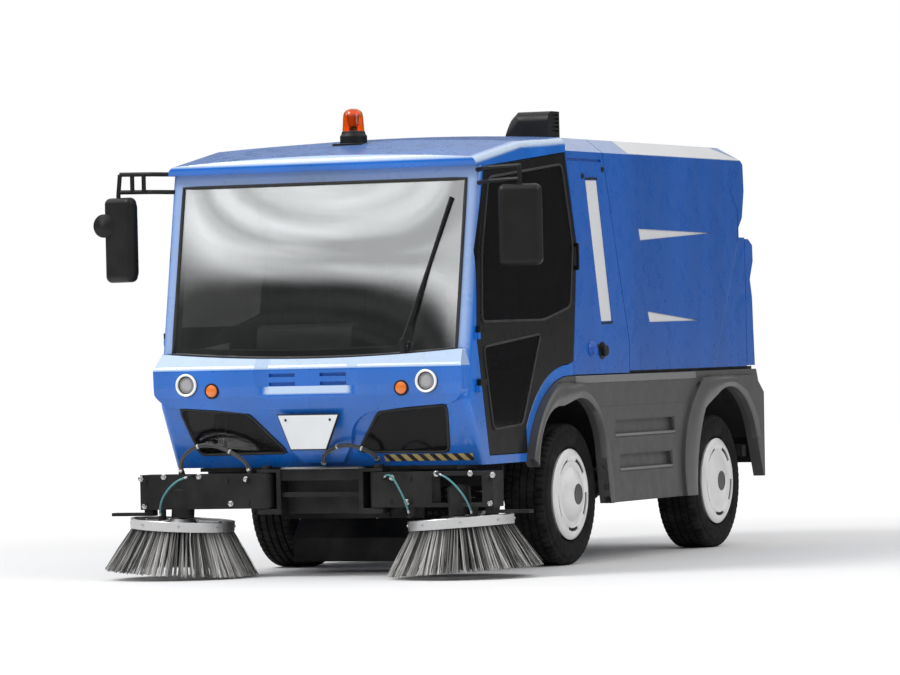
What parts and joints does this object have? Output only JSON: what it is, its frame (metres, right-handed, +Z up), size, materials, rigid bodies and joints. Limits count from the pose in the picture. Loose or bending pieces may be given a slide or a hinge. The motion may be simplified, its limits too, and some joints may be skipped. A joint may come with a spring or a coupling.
{
  "type": "street sweeper truck",
  "caption": "Compact forward-cab road sweeper with tipping rear hopper, tailgate, suction nozzle and swinging side brushes",
  "frame": {"origin": "on the ground, under the middle of the whole vehicle's box with its brushes", "axes": "+X to the vehicle's left, +Y to the rear, +Z up; the cab faces -Y"},
  "size_m": [2.6314, 4.6099, 2.5221],
  "materials": {
    "body_blue": "glossy automotive enamel",
    "door_black": "satin black",
    "chassis_black": "semi-matt black",
    "bright_steel": "bright steel",
    "engine_iron": "cast and painted",
    "window_glass": "tinted safety glass",
    "skirt_grey": "grained grey moulding",
    "trim_black": "black moulding",
    "seat_cloth": "dark woven cloth",
    "lamp_lens": "clear lens",
    "beacon_amber": "amber lens",
    "tyre_rubber": "black road tyre",
    "cover_white": "white enamel",
    "bristle_fibre": "grey and black fibre",
    "hose_rubber": "black hose",
    "spray_tube": "teal water tube"
  },
  "bodies": {
    "root": {"frame_rails": "chassis_black", "frame_crossmembers": "chassis_black", "arch_liners": "chassis_black", "body_subframe": "chassis_black", "rear_bracket": "chassis_black", "leaf_springs": "chassis_black", "front_axle": "chassis_black", "rear_axle": "chassis_black", "cab_shell": "body_blue", "cab_roof": "body_blue", "front_panel": "body_blue", "front_lamps": "lamp_lens", "cab_glass": "window_glass", "dashboard": "trim_black", "steering_wheel": "trim_black", "seat_bases": "trim_black", "seat_cushions": "seat_cloth", "side_skirts": "skirt_grey", "engine_block": "engine_iron", "engine_housing": "body_blue", "beacon": "beacon_amber", "roof_intake": "trim_black", "mirrors": "trim_black", "wiper": "trim_black", "brush_carrier": "chassis_black", "suction_nozzle": "chassis_black", "suction_duct": "trim_black", "rear_bumper": "chassis_black", "rear_lamps": "lamp_lens", "hydraulic_hose_left": "hose_rubber"},
    "knuckle_left": {"knuckle_left": "chassis_black"},
    "front_wheel_left": {"tyre_front_left": "tyre_rubber", "rim_front_left": "cover_white"},
    "rear_wheel_left": {"tyre_rear_left": "tyre_rubber", "rim_rear_left": "cover_white"},
    "door_left": {"door_left": "door_black", "door_glass_left": "window_glass"},
    "brush_arm_left": {"brush_arm_left": "chassis_black", "spray_hose_left": "spray_tube", "spray_hose_inner": "spray_tube"},
    "brush_left": {"brush_disc_left": "bright_steel", "bristles_left": "bristle_fibre"},
    "knuckle_right": {"knuckle_right": "chassis_black"},
    "front_wheel_right": {"tyre_front_right": "tyre_rubber", "rim_front_right": "cover_white"},
    "rear_wheel_right": {"tyre_rear_right": "tyre_rubber", "rim_rear_right": "cover_white"},
    "door_right": {"door_right": "door_black", "door_glass_right": "window_glass"},
    "brush_arm_right": {"brush_arm_right": "chassis_black", "spray_hose_right": "spray_tube", "hydraulic_hose_right": "hose_rubber"},
    "brush_right": {"brush_disc_right": "bright_steel", "bristles_right": "bristle_fibre"},
    "hopper": {"hopper_floor": "body_blue", "hopper_sides": "body_blue", "hopper_wrap": "body_blue"},
    "tailgate": {"tailgate": "body_blue"},
    "tip_barrels": {"tip_barrels": "chassis_black"},
    "tip_rods": {"tip_rods": "bright_steel"}
  },
  "joints": [
    {"name": "steer_left", "type": "hinge", "parent": "root", "child": "knuckle_left", "pos_m": [0.61, -0.5425, 0.39], "axis": [0, 0, 1], "range_deg": [-30, 30]},
    {"name": "front_spin_left", "type": "hinge", "parent": "knuckle_left", "child": "front_wheel_left", "pos_m": [0.768, -0.5425, 0.39], "axis": [1, 0, 0], "continuous": true},
    {"name": "rear_spin_left", "type": "hinge", "parent": "root", "child": "rear_wheel_left", "pos_m": [0.768, 1.6975, 0.39], "axis": [1, 0, 0], "continuous": true},
    {"name": "door_swing_left", "type": "hinge", "parent": "root", "child": "door_left", "pos_m": [0.925, -1.8325, 1.4], "axis": [0, 0, -1], "range_deg": [0, 60]},
    {"name": "arm_swing_left", "type": "hinge", "parent": "root", "child": "brush_arm_left", "pos_m": [0.33, -1.8425, 0.466], "axis": [0, 0, -1], "range_deg": [0, 20]},
    {"name": "brush_spin_left", "type": "hinge", "parent": "brush_arm_left", "child": "brush_left", "pos_m": [0.822, -1.8825, 0.285], "axis": [-0.061, 0, 0.9981], "continuous": true},
    {"name": "steer_right", "type": "hinge", "parent": "root", "child": "knuckle_right", "pos_m": [-0.61, -0.5425, 0.39], "axis": [0, 0, 1], "range_deg": [-30, 30]},
    {"name": "front_spin_right", "type": "hinge", "parent": "knuckle_right", "child": "front_wheel_right", "pos_m": [-0.768, -0.5425, 0.39], "axis": [1, 0, 0], "continuous": true},
    {"name": "rear_spin_right", "type": "hinge", "parent": "root", "child": "rear_wheel_right", "pos_m": [-0.768, 1.6975, 0.39], "axis": [1, 0, 0], "continuous": true},
    {"name": "door_swing_right", "type": "hinge", "parent": "root", "child": "door_right", "pos_m": [-0.925, -1.8325, 1.4], "axis": [0, 0, 1], "range_deg": [0, 60]},
    {"name": "arm_swing_right", "type": "hinge", "parent": "root", "child": "brush_arm_right", "pos_m": [-0.33, -1.8425, 0.466], "axis": [0, 0, 1], "range_deg": [0, 20]},
    {"name": "brush_spin_right", "type": "hinge", "parent": "brush_arm_right", "child": "brush_right", "pos_m": [-0.822, -1.8825, 0.285], "axis": [0.061, 0, 0.9981], "continuous": true},
    {"name": "hopper_tip", "type": "hinge", "parent": "root", "child": "hopper", "pos_m": [0, 2.2475, 1.02], "axis": [-1, 0, 0], "range_deg": [0, 48]},
    {"name": "tailgate_lift", "type": "hinge", "parent": "hopper", "child": "tailgate", "pos_m": [0, 2.0975, 1.84596], "axis": [1, 0, 0], "range_deg": [0, 80]},
    {"name": "barrel_swing", "type": "hinge", "parent": "root", "child": "tip_barrels", "pos_m": [0, 0.7575, 0.56], "axis": [1, 0, 0], "range_deg": [0, 8.38]},
    {"name": "rod_slide", "type": "slide", "parent": "tip_barrels", "child": "tip_rods", "axis": [0, 0.934, 0.3573], "range_m": [0, 0.1994]}
  ],
  "couplings": [
    {"joint": "steer_right", "follows": "steer_left", "ratio": 1},
    {"joint": "barrel_swing", "follows": "hopper_tip", "ratio": 0.1736},
    {"joint": "rod_slide", "follows": "hopper_tip", "m_per_rad": 0.23747}
  ]
}
